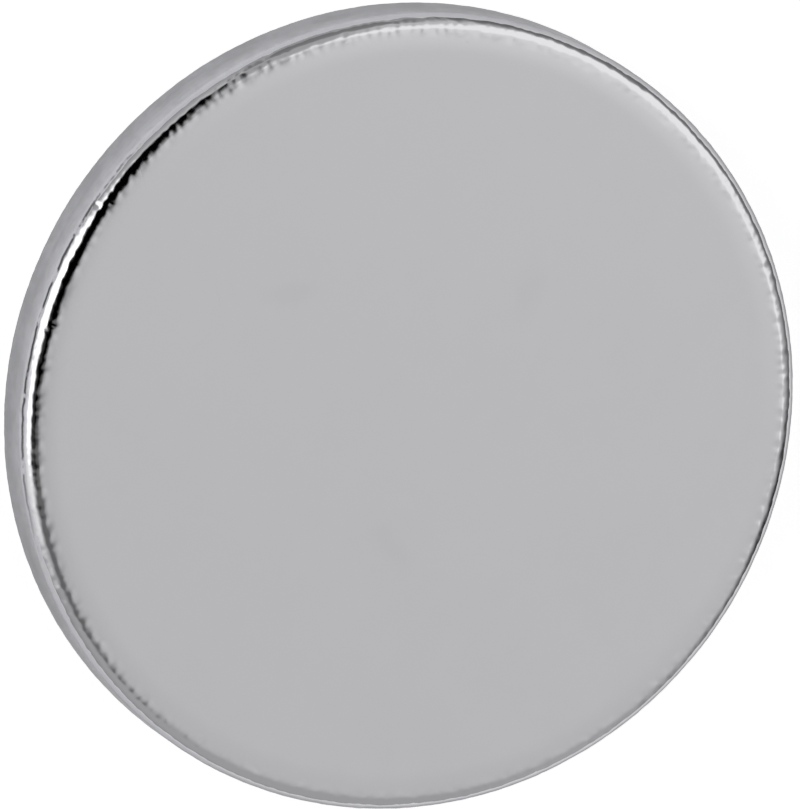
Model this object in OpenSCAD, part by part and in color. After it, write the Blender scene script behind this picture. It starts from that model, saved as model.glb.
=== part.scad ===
// Disc magnet: one sintered neodymium disc, plated all over with nickel.
// It lies on a pole face. The origin is the middle of the lower pole face, and +Z is the axis.
// Sizes are in millimetres and are over the plating.

/* [Disc] */
// Diameter of the rim wall
disc_d = 20; // [6:0.5:60]
// Thickness from pole face to pole face
disc_t = 2; // [1.5:0.1:10]

/* [Tumbled edge] */
// Radius that tumbling leaves between the rim wall and each face
corner_r = 0.42; // [0.1:0.02:0.6]

/* [Face margin] */
// Slope of each face where its margin meets the corner, in degrees
margin_slope = 2.5; // [0.5:0.5:4]
// Radius of the faint roll-off along the margin of each face
margin_r = 13; // [5:1:20]

/* [Hidden] */
$fn = 180;
nickel = [0.73, 0.73, 0.74];
// Chords along each arc of the section
corner_steps = 14;
margin_steps = 4;

function along(angle) = [cos(angle), sin(angle)];

// The corner and the roll-off run tangent to one another, so their centres lie on one radius.
// Angles are measured up from the outward direction of the rim.
rim_r = disc_d / 2;
corner_turn = 90 - margin_slope;
centres_apart = (margin_r - corner_r) * along(corner_turn);
flat_r = rim_r - corner_r - centres_apart[0];
margin_centre = [flat_r, disc_t - margin_r];
corner_centre = margin_centre + centres_apart;

// Points along an arc, without its first point
function arc(centre, radius, from, to, steps) =
    [for (i = [1:steps]) centre + radius * along(from + (to - from) * i / steps)];

// From the top of the rim wall, over the corner, to the rim of the flat face
top_edge = concat(
    [corner_centre + [corner_r, 0]],
    arc(corner_centre, corner_r, 0, corner_turn, corner_steps),
    arc(margin_centre, margin_r, corner_turn, 90, margin_steps)
);
// The lower edge is the same curve, turned over about the mid-plane and run backwards.
bottom_edge = [
    for (i = [len(top_edge) - 1:-1:0]) [top_edge[i][0], disc_t - top_edge[i][1]]
];

// Half of the disc's cross-section, from its axis to its rim
module half_section() {
    polygon(concat([[0, 0]], bottom_edge, top_edge, [[0, disc_t]]));
}

module magnet() {
    color(nickel) rotate_extrude() half_section();
}

magnet();
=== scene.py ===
"""Looks of the nickel-plated disc magnet, lying on a pale floor.

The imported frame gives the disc's place and size. The disc's section repeats the tumbled edge of the
part's source. Lengths are in metres and angles in degrees, unless a name says otherwise.
"""
import math

import bpy
from mathutils import Matrix, Vector


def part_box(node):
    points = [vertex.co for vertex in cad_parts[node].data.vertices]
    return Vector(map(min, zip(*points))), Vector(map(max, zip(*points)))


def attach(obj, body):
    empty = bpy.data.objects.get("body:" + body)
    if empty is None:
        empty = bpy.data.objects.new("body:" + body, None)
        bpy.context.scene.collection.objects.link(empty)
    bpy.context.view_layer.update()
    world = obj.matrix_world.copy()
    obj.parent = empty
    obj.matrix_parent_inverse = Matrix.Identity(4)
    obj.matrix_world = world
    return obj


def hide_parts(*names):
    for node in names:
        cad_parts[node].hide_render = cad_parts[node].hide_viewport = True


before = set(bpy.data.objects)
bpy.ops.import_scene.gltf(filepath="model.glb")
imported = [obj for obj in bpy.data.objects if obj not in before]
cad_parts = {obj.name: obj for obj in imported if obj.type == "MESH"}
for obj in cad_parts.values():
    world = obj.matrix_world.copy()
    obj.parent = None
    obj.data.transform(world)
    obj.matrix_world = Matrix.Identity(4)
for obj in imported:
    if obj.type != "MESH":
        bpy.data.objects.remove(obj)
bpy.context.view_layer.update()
disc_low, disc_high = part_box("magnet")
bpy.ops.object.select_all(action="DESELECT")

MM = 0.001
MICRON = 0.000001

# ---------------------------------------------------------------- sizes of the disc
RIM_RADIUS = (disc_high.x - disc_low.x) / 2
MID_HEIGHT = (disc_high.z + disc_low.z) / 2
CORNER_RADIUS = 0.42 * MM
MARGIN_SLOPE = 2.5
MARGIN_RADIUS = 13 * MM

SEGMENTS = 1440
CORNER_STEPS = 14
MARGIN_STEPS = 9
RIM_CUTS = 2
# Width of the ring of faces between the margin and the fan that closes a flat face
FLAT_RING = 0.15 * MM


# ---------------------------------------------------------------- camera
CAMERA_ELEVATION = 68.3
CAMERA_ROLL = 123
CAMERA_LENS_MM = 1000
SENSOR_WIDTH_MM = 36
VIEW_WIDTH = 19.65 * MM
# Where the middle of the picture falls on the plane of the upper pole face, in picture axes
AIM_RIGHT = -0.31 * MM
AIM_UP = 0.25 * MM


def add_camera():
    """A long lens that looks down on the disc, turned about its own axis."""
    turn = (
        Matrix.Rotation(math.radians(90 - CAMERA_ELEVATION), 4, "X")
        @ Matrix.Rotation(math.radians(CAMERA_ROLL), 4, "Z")
    )
    right, up, back = (turn.to_3x3() @ Vector(axis) for axis in ((1, 0, 0), (0, 1, 0), (0, 0, 1)))
    data = bpy.data.cameras.new("camera")
    data.lens = CAMERA_LENS_MM
    data.sensor_fit = "HORIZONTAL"
    data.sensor_width = SENSOR_WIDTH_MM
    distance = VIEW_WIDTH * CAMERA_LENS_MM / SENSOR_WIDTH_MM
    data.clip_start = distance / 10
    data.clip_end = distance * 10
    camera = bpy.data.objects.new("camera", data)
    bpy.context.scene.collection.objects.link(camera)
    aim = Vector((0, 0, disc_high.z)) + AIM_RIGHT * right + AIM_UP * up
    camera.matrix_world = Matrix.Translation(aim + distance * back) @ turn
    bpy.context.scene.camera = camera


# ---------------------------------------------------------------- node helpers
def node(tree, kind, settings=None, **inputs):
    """Adds a node, sets its settings, and gives each input a value or a link.

    An input goes by its name, with _ for a space, or by its place, as i0, i1 and so on.
    """
    made = tree.nodes.new(kind)
    for name, value in (settings or {}).items():
        setattr(made, name, value)
    for name, value in inputs.items():
        by_place = name[0] == "i" and name[1:].isdigit()
        socket = made.inputs[int(name[1:]) if by_place else name.replace("_", " ")]
        if isinstance(value, bpy.types.NodeSocket):
            tree.links.new(value, socket)
        else:
            socket.default_value = value
    return made


def math_node(tree, operation, first, second=0.0):
    return node(tree, "ShaderNodeMath", {"operation": operation}, i0=first, i1=second).outputs[0]


def product(tree, first, second):
    return math_node(tree, "MULTIPLY", first, second)


def vector_node(tree, operation, **inputs):
    return node(tree, "ShaderNodeVectorMath", {"operation": operation}, **inputs).outputs


def ramp(tree, value, low, high, to_low=0.0, to_high=1.0):
    """A smooth step from to_low to to_high as value goes from low to high."""
    return node(
        tree, "ShaderNodeMapRange", {"interpolation_type": "SMOOTHSTEP"},
        Value=value, From_Min=low, From_Max=high, To_Min=to_low, To_Max=to_high,
    ).outputs["Result"]


def total(tree, *terms):
    """The sum of each value times its weight."""
    result = 0.0
    for value, weight in terms:
        result = math_node(tree, "ADD", product(tree, value, weight), result)
    return result


def noise(tree, place, scale, detail=2.0, roughness=0.5):
    return node(
        tree, "ShaderNodeTexNoise",
        Vector=place, Scale=scale, Detail=detail, Roughness=roughness,
    ).outputs[0]


def stretch(tree, place, scale, turn=0.0):
    """The place, turned about the disc's axis by an angle in radians, then scaled along each axis."""
    turned = node(
        tree, "ShaderNodeVectorRotate", {"rotation_type": "Z_AXIS"}, Vector=place, Angle=turn,
    ).outputs[0]
    return vector_node(tree, "MULTIPLY", i0=turned, i1=scale)[0]


def new_group(name, vector, numbers, results):
    """An empty shader node group that takes a vector and numbers, and puts out numbers.

    Returns its tree, its inputs and its outputs.
    """
    tree = bpy.data.node_groups.new(name, "ShaderNodeTree")
    tree.interface.new_socket(vector, in_out="INPUT", socket_type="NodeSocketVector")
    for number in numbers:
        tree.interface.new_socket(number, in_out="INPUT", socket_type="NodeSocketFloat")
    for result in results:
        tree.interface.new_socket(result, in_out="OUTPUT", socket_type="NodeSocketFloat")
    return tree, tree.nodes.new("NodeGroupInput").outputs, tree.nodes.new("NodeGroupOutput").inputs


def use_group(tree, group, label, **inputs):
    return node(tree, "ShaderNodeGroup", {"node_tree": group, "label": label}, **inputs).outputs


# ---------------------------------------------------------------- studio
# Dark and light cards, seen from the disc. Each is laid over the ceiling and the cards before it.
CARDS = [
    # name, azimuth from +X towards +Y, elevation, turn, half width, half height, softness, level
    ("right_wall", 25, 15, 0, 50, 50, 20, 0.53),
    ("left_wall", 158, 0, 0, 42, 25, 12, 0.25),
    ("near_wall", -125, 0, 0, 40, 30, 10, 0.65),
    ("left_shade", -145, 45, 0, 12, 20, 8, 0.55),
    ("high_softbox", 148, 50, 15, 22, 22, 5, 1.3),
    ("far_wall", 102, 0, 0, 17, 33, 20, 0.04),
    ("right_glow", -40, 12, 0, 18, 30, 12, 1.35),
    ("high_glow", 120, 69, 0, 8, 8, 6, 1.05),
    ("hood_skirt", 0, 72, 0, 14, 23, 9, 0.2),
    ("right_panel", -52, 31, 0, 12, 12, 6, 2.2),
    ("low_softbox", -74, 22, 12, 14, 30, 8, 2.4),
    ("hood_arm", -57, 61, 0, 18, 11, 5, 0.05),
    ("left_corner", -149, 25, 0, 16, 12, 5, 0.3),
    ("hood", -96, 67, -28, 16, 27, 6, 0.0),
]
CEILING_LEVEL = 0.78


def make_card_group():
    """How much of a card, with soft edges, is seen along a direction. The card faces the disc."""
    sizes = ("Azimuth", "Elevation", "Turn", "Half Width", "Half Height", "Softness")
    tree, given, out = new_group("card", "Direction", sizes, ["Mask"])

    def turned(vector, axis, degrees):
        angle = product(tree, degrees, math.radians(1))
        rotate = node(tree, "ShaderNodeVectorRotate", {"rotation_type": axis}, Vector=vector, Angle=angle)
        return rotate.outputs[0]

    level = turned(given["Direction"], "Z_AXIS", product(tree, given["Azimuth"], -1))
    ahead = turned(level, "Y_AXIS", given["Elevation"])
    upright = turned(ahead, "X_AXIS", product(tree, given["Turn"], -1))
    facing = node(tree, "ShaderNodeSeparateXYZ", Vector=upright).outputs
    inside = 1.0
    for across, half in (("Y", "Half Width"), ("Z", "Half Height")):
        away = math_node(tree, "ABSOLUTE", facing[across])
        angle = product(tree, math_node(tree, "ARCTAN2", away, facing["X"]), math.degrees(1))
        inner = math_node(tree, "SUBTRACT", given[half], given["Softness"])
        outer = math_node(tree, "ADD", given[half], given["Softness"])
        inside = product(tree, ramp(tree, angle, inner, outer, 1.0, 0.0), inside)
    tree.links.new(inside, out["Mask"])
    return tree


def light_studio():
    """A studio with an even ceiling, darker walls, softboxes, and a dark hood by the camera."""
    world = bpy.data.worlds.new("studio")
    bpy.context.scene.world = world
    world.use_nodes = True
    tree = world.node_tree
    tree.nodes.clear()
    direction = node(tree, "ShaderNodeTexCoord").outputs["Generated"]
    card = make_card_group()
    level = CEILING_LEVEL
    for name, azimuth, elevation, turn, half_width, half_height, softness, card_level in CARDS:
        mask = use_group(
            tree, card, name, Direction=direction, Azimuth=azimuth, Elevation=elevation, Turn=turn,
            Half_Width=half_width, Half_Height=half_height, Softness=softness,
        )["Mask"]
        laid = node(tree, "ShaderNodeMix", {"data_type": "FLOAT"}, i0=mask, i2=level, i3=card_level)
        level = laid.outputs[0]
    background = node(tree, "ShaderNodeBackground", Color=(1, 1, 1, 1), Strength=level)
    out = node(tree, "ShaderNodeOutputWorld")
    tree.links.new(background.outputs[0], out.inputs["Surface"])


FLOOR_RADIUS = 3.0
FLOOR_COLOUR = (0.7, 0.7, 0.7, 1)
FLOOR_GLOW = 0.65
# The disc covers a hole in the floor, through which its lower face shows
HOLE_RADIUS = 8.8 * MM
HOLE_CORNERS = 180


def add_floor():
    """A pale floor that glows for the camera and for the plating, and still takes the disc's shadow."""
    bpy.ops.mesh.primitive_circle_add(vertices=HOLE_CORNERS, radius=HOLE_RADIUS)
    floor = bpy.context.object
    floor.name = "floor"
    widening = FLOOR_RADIUS / HOLE_RADIUS
    bpy.ops.object.mode_set(mode="EDIT")
    bpy.ops.mesh.select_all(action="SELECT")
    bpy.ops.mesh.extrude_edges_move()
    bpy.ops.transform.resize(value=(widening, widening, 1))
    bpy.ops.object.mode_set(mode="OBJECT")
    material = bpy.data.materials.new("pale_floor")
    material.use_nodes = True
    tree = material.node_tree
    tree.nodes.clear()
    diffuse = node(tree, "ShaderNodeBsdfDiffuse", Color=FLOOR_COLOUR)
    glow = node(tree, "ShaderNodeEmission", Color=(1, 1, 1, 1), Strength=FLOOR_GLOW)
    both = node(tree, "ShaderNodeAddShader", i0=diffuse.outputs[0], i1=glow.outputs[0])
    path = node(tree, "ShaderNodeLightPath").outputs
    seen = math_node(tree, "MAXIMUM", path["Is Camera Ray"], path["Is Glossy Ray"])
    seen = math_node(tree, "MAXIMUM", seen, path["Is Transmission Ray"])
    mix = node(tree, "ShaderNodeMixShader", i0=seen, i1=diffuse.outputs[0], i2=both.outputs[0])
    out = node(tree, "ShaderNodeOutputMaterial")
    tree.links.new(mix.outputs[0], out.inputs["Surface"])
    floor.data.materials.append(material)
    bpy.ops.object.select_all(action="DESELECT")


# ---------------------------------------------------------------- the disc
def along(angle):
    """A step of one unit at an angle, in degrees."""
    return Vector((math.cos(math.radians(angle)), math.sin(math.radians(angle))))


def arc(centre, radius, start, end, steps):
    """Points along an arc, without its first point, as (distance from the axis, height)."""
    return [centre + radius * along(start + (end - start) * i / steps) for i in range(1, steps + 1)]


def upper_edge():
    """The section from the top of the rim wall, over the corner, to the rim of the flat face."""
    corner_turn = 90 - MARGIN_SLOPE
    centres_apart = (MARGIN_RADIUS - CORNER_RADIUS) * along(corner_turn)
    flat_radius = RIM_RADIUS - CORNER_RADIUS - centres_apart.x
    margin_centre = Vector((flat_radius, disc_high.z - MARGIN_RADIUS))
    corner_centre = margin_centre + centres_apart
    return [
        corner_centre + Vector((CORNER_RADIUS, 0)),
        *arc(corner_centre, CORNER_RADIUS, 0, corner_turn, CORNER_STEPS),
        *arc(margin_centre, MARGIN_RADIUS, corner_turn, 90, MARGIN_STEPS),
    ]


EDGE = upper_edge()
WALL_HALF_HEIGHT = EDGE[0].y - MID_HEIGHT
FLAT_RADIUS = EDGE[-1].x
MARGIN_START = EDGE[-MARGIN_STEPS].x
# The part of a whole length or height that counts as all of it
NEARLY_FULL = 0.9


def pick(mesh, part, test):
    """Selects the faces or the edges of a mesh that pass a test, and nothing else. In object mode."""
    for items in (mesh.vertices, mesh.edges, mesh.polygons):
        items.foreach_set("select", [False] * len(items))
    for item in getattr(mesh, part):
        item.select = test(item)


def draw_in_face(disc, side):
    """Draws the upper or lower face in along the section, one step at a time, and closes its middle."""
    bpy.ops.object.mode_set(mode="OBJECT")
    pick(disc.data, "polygons", lambda face: face.normal.z * side > NEARLY_FULL)
    bpy.ops.object.mode_set(mode="EDIT")
    for near, far in zip(EDGE, EDGE[1:]):
        bpy.ops.mesh.inset(thickness=near.x - far.x, depth=far.y - near.y)
    bpy.ops.mesh.inset(thickness=FLAT_RING, depth=0)
    bpy.ops.mesh.poke()


def model_disc():
    """The whole disc: a cylinder as high as the rim wall, whose two ends are drawn in to the faces."""
    bpy.ops.mesh.primitive_cylinder_add(
        vertices=SEGMENTS, radius=RIM_RADIUS, depth=2 * WALL_HALF_HEIGHT, location=(0, 0, MID_HEIGHT),
    )
    disc = bpy.context.object
    disc.name = "disc"
    disc.data.name = "disc"
    bpy.ops.object.transform_apply(location=True)
    bpy.ops.object.mode_set(mode="EDIT")
    bpy.ops.mesh.select_mode(type="FACE")
    for side in (1, -1):
        draw_in_face(disc, side)
    bpy.ops.mesh.select_mode(type="EDGE")
    bpy.ops.object.mode_set(mode="OBJECT")

    def upright(edge):
        low, high = sorted(disc.data.vertices[i].co.z - MID_HEIGHT for i in edge.vertices)
        return high - low > NEARLY_FULL * 2 * WALL_HALF_HEIGHT

    pick(disc.data, "edges", upright)
    bpy.ops.object.mode_set(mode="EDIT")
    bpy.ops.mesh.subdivide(number_cuts=RIM_CUTS)
    bpy.ops.object.mode_set(mode="OBJECT")
    bpy.ops.object.shade_smooth()
    return disc


# Tumbling leaves shallow dents along the edge. They die out on the margin of each face and, but for
# the longest ones, on the rim wall.
DENTS = [
    # name, size of a dent, depth, height above or below the mid-plane from which they show
    ("long_dents", 1.6 * MM, 0.008 * MM, 0.0),
    ("short_dents", 0.34 * MM, 0.013 * MM, 0.55 * MM),
    ("pecks", 0.17 * MM, 0.008 * MM, 0.65 * MM),
]
DENTS_FULL_FROM = 9.62 * MM
DENTS_DIE_AT = 9.46 * MM
DENTS_FADE = 0.2 * MM
NICKS = [
    # azimuth, angle up the corner from the rim wall, radius, depth
    (-72.4, 80, 0.13 * MM, 0.016 * MM),
    (-71.2, 62, 0.11 * MM, 0.014 * MM),
    (-90.5, 40, 0.12 * MM, 0.018 * MM),
    (-92.0, 78, 0.10 * MM, 0.010 * MM),
    (-61.5, 30, 0.10 * MM, 0.012 * MM),
]


def push_in(disc, name, weight_at, depth, texture=None):
    """Pushes the surface in along its normals, by weight, or in and out where a texture says so."""
    group = disc.vertex_groups.new(name=name)
    for vertex in disc.data.vertices:
        weight = weight_at(vertex.co)
        if weight > 0:
            group.add([vertex.index], weight, "REPLACE")
    bulge = disc.modifiers.new(name, "DISPLACE")
    bulge.vertex_group = name
    if texture:
        bulge.texture = texture
        bulge.texture_coords = "LOCAL"
        bulge.strength = depth
        bulge.mid_level = 0.5
    else:
        bulge.strength = -depth
        bulge.mid_level = 0.0
    bpy.ops.object.modifier_apply(modifier=name)


def rise(value, low, high):
    """How far a value is on its way from low to high, from 0 to 1."""
    return max(0.0, min(1.0, (value - low) / (high - low)))


def wear_edge(disc):
    """Dents the edge all round, and nicks it in a few places."""
    for name, size, depth, from_height in DENTS:
        texture = bpy.data.textures.new(name, "CLOUDS")
        texture.noise_scale = size
        texture.noise_depth = 1

        def on_edge(place):
            above = abs(place.z - MID_HEIGHT)
            off_wall = rise(above, from_height - DENTS_FADE, from_height)
            return rise(place.xy.length, DENTS_DIE_AT, DENTS_FULL_FROM) * off_wall

        push_in(disc, name, on_edge, depth, texture)
    corner_middle = EDGE[0] - Vector((CORNER_RADIUS, 0))
    for number, (azimuth, angle, radius, depth) in enumerate(NICKS):
        on_section = corner_middle + CORNER_RADIUS * along(angle)
        middle = (along(azimuth) * on_section.x).to_3d()
        middle.z = on_section.y

        def near_nick(place):
            return max(0.0, 1 - ((place - middle).length / radius) ** 2) ** 2

        push_in(disc, f"nick_{number}", near_nick, depth)


# ---------------------------------------------------------------- nickel plating
NICKEL = (0.592, 0.588, 0.606, 1)
# Painted shade: the darker colour of the rim wall and the low corner, in place of the shaded floor they
# reflect
SHADED_RIM_NICKEL = (0.41, 0.41, 0.43, 1)
# How much of the plating's brightness is left where it is seen nearly edge-on
GRAZING_TINT = (0.5, 0.5, 0.5, 1)
# Heights from the mid-plane, in mm, between which the painted shade of the rim wall and the low corner gives
# way: a darker colour that stands in for the shaded floor they reflect
PAINTED_SHADE_TO = 0.80
UNSHADED_FROM = 0.93
# How far past the rim wall its ground texture fades, in mm
WALL_BLEND = 0.28
# The burr line, where the ground wall meets the tumbled corner, is a shallow bump and a painted dark
# reflection line: its height above the mid-plane, how far it wavers and its half width, in mm, and where it
# lies round the disc
BURR_SHADE_HEIGHT = 0.79
BURR_SHADE_WAVER = 0.08
BURR_SHADE_WIDTH = 0.055
BURR_SHADE_CORE = 0.2 * BURR_SHADE_WIDTH
BURR_SHADE_AZIMUTH = -72
BURR_SHADE_REACH = 38
# Heights over which the wall gets brighter, in mm from the mid-plane: painted shading, darker low on the
# wall, where it reflects the floor's contact shade, and lighter towards its top
PAINTED_LIFT_SPAN = (-0.1, 0.6)
FACE_ROUGHNESS = 0.14
EDGE_ROUGHNESS = 0.07
RIM_ROUGHNESS = 0.35
# How much finer the rim wall's grinding marks are across than along, per mm
GRINDING = (0.16, 0.16, 16.0)
# Size of the plating's orange peel, in mm
PEEL_SIZE = 0.11
# Directions of the hairlines on a face, and their lengths in mm
HAIRLINES = ((17, 2.2), (74, 1.4), (131, 3.0))
# A cell has a pinhole if its random value is above this
PINHOLE_RARITY = 0.55


def make_zone_group():
    """Whether a point, in mm, lies on the rim wall, on the rounded edge or on a pole face, and where the
    edge's painted shade lies.
    """
    tree, given, out = new_group("disc_zones", "Place", [], ["Wall", "Painted Rim Shade", "Face", "Burr And Shade Line", "Painted Wall Lift"])
    split = node(tree, "ShaderNodeSeparateXYZ", Vector=given["Place"]).outputs
    above = math_node(tree, "SUBTRACT", split["Z"], MID_HEIGHT / MM)
    height = math_node(tree, "ABSOLUTE", above)
    flat = vector_node(tree, "MULTIPLY", i0=given["Place"], i1=(1, 1, 0))[0]
    distance = vector_node(tree, "LENGTH", i0=flat)["Value"]
    wall_top = WALL_HALF_HEIGHT / MM
    # The burr line, with its painted dark reflection, is broken, and lies in one sector of the edge
    wavering = total(tree, (above, 1.0), (noise(tree, given["Place"], 3.0), BURR_SHADE_WAVER))
    from_line = math_node(tree, "ABSOLUTE", math_node(tree, "SUBTRACT", wavering, BURR_SHADE_HEIGHT))
    unbroken = ramp(tree, from_line, BURR_SHADE_CORE, BURR_SHADE_WIDTH, 1.0, 0.0)
    present = ramp(tree, noise(tree, given["Place"], 1.6, 3.0, 0.6), 0.40, 0.50)
    outward = vector_node(tree, "NORMALIZE", i0=flat)[0]
    towards = vector_node(tree, "DOT_PRODUCT", i0=outward, i1=along(BURR_SHADE_AZIMUTH).to_3d())["Value"]
    sector = ramp(tree, towards, along(BURR_SHADE_REACH).x, 1.0)
    results = {
        "Wall": ramp(tree, height, wall_top, wall_top + WALL_BLEND, 1.0, 0.0),
        "Painted Rim Shade": ramp(tree, height, PAINTED_SHADE_TO, UNSHADED_FROM, 1.0, 0.0),
        "Face": ramp(tree, distance, FLAT_RADIUS / MM, MARGIN_START / MM, 1.0, 0.0),
        "Burr And Shade Line": product(tree, product(tree, unbroken, present), sector),
        "Painted Wall Lift": ramp(tree, above, *PAINTED_LIFT_SPAN),
    }
    for name, value in results.items():
        tree.links.new(value, out[name])
    return tree


def make_haze_group():
    """Soft clouds of two sizes, from -1 to 1, as tumbling leaves them in a bright finish."""
    tree, given, out = new_group("tumbling_haze", "Place", ["Size"], ["Haze"])
    scale = math_node(tree, "DIVIDE", 1.0, given["Size"])
    wide = noise(tree, given["Place"], scale, 1.0)
    close = noise(tree, given["Place"], product(tree, scale, 4.3), 3.0)
    both = math_node(tree, "ADD", wide, close)
    tree.links.new(ramp(tree, both, 0.75, 1.25, -1.0, 1.0), out["Haze"])
    return tree


def make_hairline_group():
    """Fine straight scratches in three directions, as a mask."""
    tree, given, out = new_group("hairlines", "Place", ["Width", "Amount"], ["Lines"])
    finer = math_node(tree, "DIVIDE", 1.0, given["Width"])
    # A line shows where the noise is high: more of it does as the amount goes from 0 to 1
    least = math_node(tree, "SUBTRACT", 0.78, product(tree, given["Amount"], 0.2))
    most = math_node(tree, "ADD", least, 0.08)
    lines = 0.0
    for turn, length in HAIRLINES:
        scale = node(tree, "ShaderNodeCombineXYZ", X=1 / length, Y=finer, Z=1.0).outputs[0]
        streaks = noise(tree, stretch(tree, given["Place"], scale, math.radians(turn)), 1.0, 1.0)
        lines = math_node(tree, "MAXIMUM", ramp(tree, streaks, least, most), lines)
    tree.links.new(lines, out["Lines"])
    return tree


def make_smudge_group():
    """A soft oval mark with a broken outline, as a mask."""
    sizes = ("X", "Y", "Half Length", "Half Width", "Turn")
    tree, given, out = new_group("smudge", "Place", sizes, ["Mark"])
    middle = node(tree, "ShaderNodeCombineXYZ", X=given["X"], Y=given["Y"]).outputs[0]
    apart = vector_node(tree, "SUBTRACT", i0=given["Place"], i1=middle)[0]
    along_mark = math_node(tree, "DIVIDE", 1.0, given["Half Length"])
    across_mark = math_node(tree, "DIVIDE", 1.0, given["Half Width"])
    scale = node(tree, "ShaderNodeCombineXYZ", X=along_mark, Y=across_mark, Z=0.0).outputs[0]
    back = product(tree, given["Turn"], -math.radians(1))
    oval = stretch(tree, apart, scale, back)
    distance = vector_node(tree, "LENGTH", i0=oval)["Value"]
    broken = math_node(tree, "ADD", distance, noise(tree, given["Place"], 2.5, 3.0))
    tree.links.new(ramp(tree, broken, 0.7, 1.6, 1.0, 0.0), out["Mark"])
    return tree


def make_pit_group():
    """Scattered pinholes in the plating, as a mask."""
    tree, given, out = new_group("pinholes", "Place", ["Spacing", "Radius"], ["Pits"])
    scale = math_node(tree, "DIVIDE", 1.0, given["Spacing"])
    cells = node(tree, "ShaderNodeTexVoronoi", {"feature": "F1"}, Vector=given["Place"], Scale=scale).outputs
    radius = product(tree, given["Radius"], scale)
    spot = ramp(tree, cells["Distance"], product(tree, radius, 0.4), radius, 1.0, 0.0)
    chosen = node(tree, "ShaderNodeSeparateColor", Color=cells["Color"]).outputs[0]
    present = math_node(tree, "GREATER_THAN", chosen, PINHOLE_RARITY)
    tree.links.new(product(tree, spot, present), out["Pits"])
    return tree


# Soft marks left by handling, with lengths in mm
SMUDGES = [
    # x, y, half length, half width, turn
    (-4.1, 0.8, 0.9, 0.5, 20),
    (3.0, 1.4, 1.0, 0.45, 70),
    (-0.9, -4.4, 1.0, 0.4, 130),
]


def nickel_plating():
    """Bright nickel: satin on the faces, burnished on the rounded edge, rougher on the ground rim wall,
    whose darker colour is painted shade.
    """
    material = bpy.data.materials.new("nickel_plating")
    material.use_nodes = True
    tree = material.node_tree
    shader = tree.nodes["Principled BSDF"]
    shader.inputs["Metallic"].default_value = 1.0
    shader.inputs["Specular Tint"].default_value = GRAZING_TINT
    in_metres = node(tree, "ShaderNodeTexCoord").outputs["Object"]
    place = vector_node(tree, "SCALE", Vector=in_metres, Scale=1 / MM)[0]

    zones = use_group(tree, make_zone_group(), "zones", Place=place)
    haze_group = make_haze_group()
    face_haze = use_group(tree, haze_group, "face haze", Place=place, Size=2.4)["Haze"]
    rim_haze = use_group(tree, haze_group, "rim haze", Place=place, Size=0.9)["Haze"]
    hairlines = make_hairline_group()
    fine_lines = use_group(tree, hairlines, "fine lines", Place=place, Width=0.035, Amount=0.4)["Lines"]
    coarse_lines = use_group(tree, hairlines, "coarse lines", Place=place, Width=0.09, Amount=0.2)["Lines"]
    pits = use_group(tree, make_pit_group(), "pinholes", Place=place, Spacing=1.6, Radius=0.035)["Pits"]
    marks = 0.0
    smudge_group = make_smudge_group()
    for x, y, half_length, half_width, turn in SMUDGES:
        mark = use_group(
            tree, smudge_group, "smudge", Place=place, X=x, Y=y,
            Half_Length=half_length, Half_Width=half_width, Turn=turn,
        )["Mark"]
        marks = math_node(tree, "MAXIMUM", mark, marks)
    # The rim wall was ground along its circumference before plating
    ground = noise(tree, stretch(tree, place, GRINDING), 1.0, 4.0, 0.6)
    ground = math_node(tree, "SUBTRACT", ground, 0.5)
    peel = noise(tree, place, 1 / PEEL_SIZE, 2.0, 0.6)

    on_wall = zones["Wall"]
    on_face = zones["Face"]
    burr_and_shade_line = zones["Burr And Shade Line"]
    face_haze = product(tree, face_haze, on_face)
    rim_haze = product(tree, rim_haze, on_wall)
    ground = product(tree, ground, on_wall)
    # Painted shading: the wall's colour lighter towards its top, darker where it reflects the floor's
    # contact shade
    painted_wall_lift = product(tree, zones["Painted Wall Lift"], on_wall)
    marks = product(tree, marks, on_face)
    # The burr's dark line in the colour is painted shade, a dark reflection drawn along one sector of the
    # edge
    brightness = total(
        tree, (1.0, 1.0), (face_haze, 0.008), (rim_haze, 0.07), (ground, 0.2), (painted_wall_lift, 0.18),
        (burr_and_shade_line, -0.9), (marks, -0.012), (fine_lines, -0.01), (pits, -0.1),
    )
    # Painted shade: the colour turns to the darker nickel low on the edge, where it reflects the shaded
    # floor
    zone_colour = node(
        tree, "ShaderNodeMix", {"data_type": "RGBA"}, i0=zones["Painted Rim Shade"], i6=NICKEL, i7=SHADED_RIM_NICKEL,
    ).outputs[2]
    colour = vector_node(tree, "SCALE", Vector=zone_colour, Scale=brightness)[0]
    roughness = total(
        tree, (EDGE_ROUGHNESS, 1.0), (on_face, FACE_ROUGHNESS - EDGE_ROUGHNESS),
        (on_wall, RIM_ROUGHNESS - EDGE_ROUGHNESS), (face_haze, 0.012), (rim_haze, 0.03),
        (marks, 0.03), (fine_lines, 0.04),
    )
    height = total(
        tree, (peel, 0.35), (ground, 1.2), (coarse_lines, -0.25), (pits, -1.5), (burr_and_shade_line, -1.0),
    )
    bump = node(tree, "ShaderNodeBump", Strength=1.0, Distance=MICRON, Height=height)
    tree.links.new(colour, shader.inputs["Base Color"])
    tree.links.new(roughness, shader.inputs["Roughness"])
    tree.links.new(bump.outputs["Normal"], shader.inputs["Normal"])
    return material


add_camera()
light_studio()
add_floor()
disc = model_disc()
wear_edge(disc)
disc.data.materials.append(nickel_plating())
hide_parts("magnet")
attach(disc, "root")

bpy.context.scene.view_settings.view_transform = "Standard"
